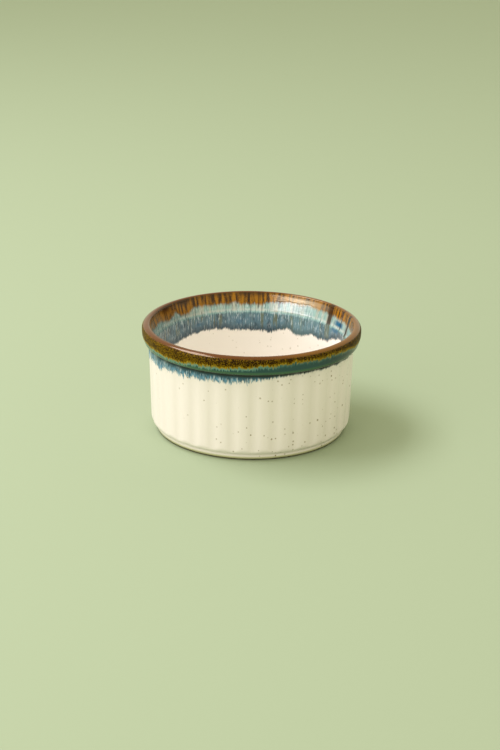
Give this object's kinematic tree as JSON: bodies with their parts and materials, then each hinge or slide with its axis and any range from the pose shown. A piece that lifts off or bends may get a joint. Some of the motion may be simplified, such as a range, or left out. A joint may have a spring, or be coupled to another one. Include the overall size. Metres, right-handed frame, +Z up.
{
  "type": "ramekin",
  "caption": "Small round fluted stoneware baking dish with a plain collar rim, a flat foot ring and layered cream, blue and brown glaze coats.",
  "frame": {"origin": "centre of the foot ring's flat underside, on the dish's axis, at the level of the surface it stands on", "axes": "+Z up along the dish's axis, towards its open mouth; -Y towards the picture's camera; +X to the right in the picture"},
  "size_m": [0.09, 0.09, 0.045],
  "materials": {
    "bare_stoneware": "unglazed, fine grained",
    "cream_glaze": "gloss, with iron specks",
    "blue_glaze": "gloss, streaked",
    "brown_glaze": "gloss, mottled"
  },
  "bodies": {
    "root": {"stoneware_body": "bare_stoneware", "cream_glaze": "cream_glaze", "base_glaze": "cream_glaze", "blue_glaze": "blue_glaze", "brown_rim_glaze": "brown_glaze"}
  },
  "joints": []
}
